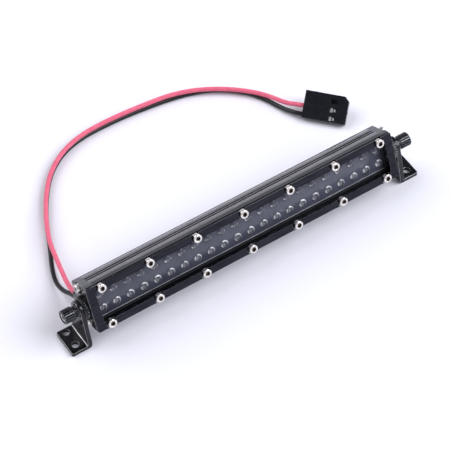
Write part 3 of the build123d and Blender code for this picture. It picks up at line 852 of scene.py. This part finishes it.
def make_contacts(materials):
    """Crimped contacts: a box with a spring window, a latch and a mouth in painted shade."""
    top = CONTACT_SIZE / 2 - CONTACT_GAP
    # Distance along the plug, height and half width
    profile = [
        (1.0, top, CONTACT_HALF),
        (8.72, top, CONTACT_HALF),
        (8.76, top - 0.5, CONTACT_HALF),
        (8.96, top - 0.5, CONTACT_HALF),
        (9.0, top - 0.05, 0.4),
        (9.5, top - 0.05, 0.4),
        (9.54, top - 0.6, 0.6),
        (CONTACT_LENGTH - 0.1, top - 0.6, 0.6),
    ]
    place = plug_frame()
    shape = bmesh.new()
    for slot in (-1, 0):
        middle = Vector((PLUG_SLOT_MIDDLE + PLUG_PITCH * slot, PLUG_THICKNESS / 2, 0))
        loops = []
        for length, height, width in profile:
            loop = []
            for x, y in (
                (-width, -CONTACT_HALF),
                (width, -CONTACT_HALF),
                (width, height),
                (-width, height),
            ):
                point = (middle + Vector((x, y, length))) * MM
                loop.append(shape.verts.new(place @ point))
            loops.append(loop)
        for step, (near, far) in enumerate(zip(loops, loops[1:])):
            for corner in range(4):
                after = (corner + 1) % 4
                face = shape.faces.new((near[corner], near[after], far[after], far[corner]))
                face.material_index = int(step in CONTACT_SHADED_STEPS)
        shape.faces.new(list(reversed(loops[0])))
        shape.faces.new(loops[-1])
    piece = mesh_object("crimp_contacts", shape, materials)
    attach(piece, "lamp", "plug_contacts")
    return piece


# Wires


def free_wire(name, route, material, replaces):
    """A round silicone wire along one smooth spline."""
    data = bpy.data.curves.new(name, "CURVE")
    data.dimensions = "3D"
    data.bevel_depth = WIRE_DIAMETER / 2 * MM
    data.bevel_resolution = 6
    data.resolution_u = 12
    data.use_fill_caps = True
    spline = data.splines.new("NURBS")
    spline.points.add(len(route) - 1)
    for point, place in zip(spline.points, route):
        point.co = (*(Vector(place) * MM), 1)
    spline.order_u = 3
    spline.use_endpoint_u = True
    piece = add_object(name, data)
    data.materials.append(material)
    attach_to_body(piece, "lamp")
    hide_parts(replaces)
    return piece


# The scene: studio, lead, finishes and lamp

make_camera()
make_studio()

red_rubber = moulded("red_rubber", (0.72, 0.12, 0.2), (0.8, 0.15, 0.24), (0.4, 0.5), gloss=0.3)
black_rubber = moulded(
    "black_rubber", (0.003, 0.003, 0.004), (0.007, 0.007, 0.009), (0.16, 0.24), gloss=0.4
)
plug_plastic = moulded(
    "plug_plastic",
    (0.006, 0.0064, 0.0095),
    (0.01, 0.0106, 0.015),
    (0.16, 0.26),
    gloss=0.3,
    depth=0.12,
)
tin = bright_metal("tin", (0.88, 0.88, 0.87), (0.96, 0.96, 0.95), (0.3, 0.4))
# Painted shade on the low steps of the contacts
contact_gap_shade = bright_metal("contact_gap_shade", (0.02, 0.02, 0.02), (0.05, 0.05, 0.05), (0.4, 0.5))
plug_housing = softened("plug_housing", "lamp", 0.12, plug_plastic, merge=False)
plug_contacts = make_contacts([tin, contact_gap_shade])
red = free_wire("red_lead", RED_ROUTE, red_rubber, "red_wire")
black = free_wire(
    "black_lead", BLACK_ROUTE, black_rubber, "black_wire"
)

# Paler rounded edges of the end caps and spacer rings: wear with a painted highlight
edge_wear_and_highlight = bright_metal(
    "edge_wear_and_highlight", (0.22, 0.225, 0.24), (0.34, 0.345, 0.36), (0.2, 0.3), scale=600
)
# Knob edges and one flank of each knurl tooth: wear with a painted highlight
knob_wear_and_highlight = bright_metal(
    "knob_wear_and_highlight", (0.12, 0.123, 0.135), (0.2, 0.204, 0.22), (0.22, 0.32), scale=600
)
# Painted highlight on the housing strip and bracket folds; wear with a painted highlight on
# bracket edges
bright_wear_and_highlight = bright_metal(
    "bright_wear_and_highlight", (0.42, 0.425, 0.44), (0.56, 0.565, 0.58), (0.2, 0.3), scale=600
)
# Darker than the bezel metal: painted shade on the bezel's rounded edges
bezel_edge_shade = bright_metal(
    "bezel_edge_shade", (0.008, 0.008, 0.009), (0.02, 0.02, 0.022), (0.2, 0.3), scale=600
)
housing_metal = anodised("housing_metal", (0.145, 0.145, 0.156), (0.21, 0.21, 0.226), (0.16, 0.26))
cap_metal = anodised("cap_metal", (0.085, 0.085, 0.092), (0.13, 0.13, 0.14), (0.16, 0.26))
# Painted shade for grooves, the lens pocket, the front chamfer, knurl valleys and a knob's recess
painted_shade_metal = anodised(
    "painted_shade_metal",
    (0.003, 0.003, 0.004),
    (0.008, 0.008, 0.01),
    (0.3, 0.4),
    edge_colour=(0.01, 0.01, 0.011),
)
# Darker copy of the housing metal: painted shade on the flat strip
lip_shade_metal = anodised(
    "lip_shade_metal", (0.08, 0.08, 0.086), (0.12, 0.12, 0.129), (0.16, 0.26), edge_colour=(0.1, 0.1, 0.11)
)
bezel_metal = anodised("bezel_metal", (0.019, 0.0197, 0.0245), (0.033, 0.034, 0.0415), (0.12, 0.2))
knob_metal = anodised(
    "knob_metal", (0.022, 0.022, 0.026), (0.038, 0.038, 0.044), (0.28, 0.38), streak=(1, 1, 1)
)
small_metal = anodised(
    "small_metal", (0.028, 0.028, 0.031), (0.05, 0.05, 0.055), (0.14, 0.26), streak=(1, 1, 1)
)
steel = bright_metal("steel", (0.72, 0.67, 0.63), (0.9, 0.87, 0.84), (0.1, 0.2))
dull_steel = bright_metal("dull_steel", (0.12, 0.12, 0.125), (0.2, 0.2, 0.21), (0.2, 0.3))
# Painted shade inside the hexagon sockets
socket_shade_steel = bright_metal("socket_shade_steel", (0.08, 0.06, 0.05), (0.2, 0.16, 0.13), (0.3, 0.4))
brass = bright_metal("brass", (0.62, 0.42, 0.16), (0.76, 0.56, 0.26), (0.2, 0.35))
board_mask = moulded("board_mask", (0.008, 0.01, 0.012), (0.014, 0.016, 0.02), (0.25, 0.4))
phosphor = moulded("phosphor", (0.5, 0.45, 0.28), (0.6, 0.56, 0.4), (0.3, 0.5))
chip_black = moulded("chip_black", (0.02, 0.02, 0.02), (0.04, 0.04, 0.04), (0.4, 0.5))
gasket_black = moulded("gasket_black", (0.006, 0.006, 0.008), (0.012, 0.012, 0.015), (0.4, 0.55))
silicone = moulded("silicone", (0.14, 0.145, 0.17), (0.2, 0.205, 0.24), (0.3, 0.45))
lens_sheet = smoky(
    "lens_sheet", (0.066, 0.07, 0.1), (0.081, 0.086, 0.12), (0.14, 0.24), alpha=0.92, coat=0.1
)
lens_dome = smoky(
    "lens_dome", (0.105, 0.107, 0.13), (0.155, 0.158, 0.185), (0.03, 0.06), alpha=0.9, coat=1.0
)
# Painted shade in the ring round each dome
lens_ring_shade = smoky(
    "lens_ring_shade", (0.045, 0.047, 0.062), (0.07, 0.072, 0.092), (0.1, 0.2), alpha=0.95, coat=0.3
)
# Painted highlight: the glints on the domes and the bead along the lens foot
lens_glint = smoky(
    "lens_glint", (0.48, 0.49, 0.53), (0.76, 0.77, 0.81), (0.03, 0.06), alpha=0.95, coat=1.0
)
# Painted shade on each dome's top
lens_top_shade = smoky(
    "lens_top_shade", (0.02, 0.021, 0.028), (0.05, 0.052, 0.066), (0.03, 0.06), alpha=0.95, coat=1.0
)

make_housing([housing_metal, painted_shade_metal, bright_wear_and_highlight, lip_shade_metal])
make_lens([lens_sheet, lens_dome, lens_ring_shade, lens_glint, lens_top_shade])
screw_finish = [steel, socket_shade_steel]
make_bezel_screws(screw_finish)
# The bezel's rounded edges are painted shade.
softened("front_bezel", "lamp", 0.1, bezel_metal, bezel_edge_shade)
for side, sign in (("left", -1), ("right", 1)):
    make_cap_screws(side, sign, screw_finish)
    make_pivot_screw(side, sign, screw_finish)
    softened(side + "_end_cap", "lamp", 0.1, cap_metal, edge_wear_and_highlight)
    softened(side + "_spacer_ring", "lamp", 0.06, small_metal, edge_wear_and_highlight)
    foot = side + "_bracket"
    bracket = softened(foot, foot, 0.14, small_metal, bright_wear_and_highlight)
    # The bracket's fold is a painted highlight.
    paint_fold_highlight(bracket.data)
    make_knob(side, sign, [knob_metal, painted_shade_metal, knob_wear_and_highlight])
    softened(side + "_washer", side + "_washer", 0.04, dull_steel)
softened("wire_grommet", "lamp", 0.08, black_rubber, merge=False)

KEPT_NODES = {
    "lens_gasket": gasket_black,
    "circuit_board": board_mask,
    "led_chips": phosphor,
    "resistors": chip_black,
    "thermal_pad": silicone,
    "left_pivot_insert": brass,
    "right_pivot_insert": brass,
    "solder_tails": tin,
}
for node, material in KEPT_NODES.items():
    nodes[node].data.materials[0] = material
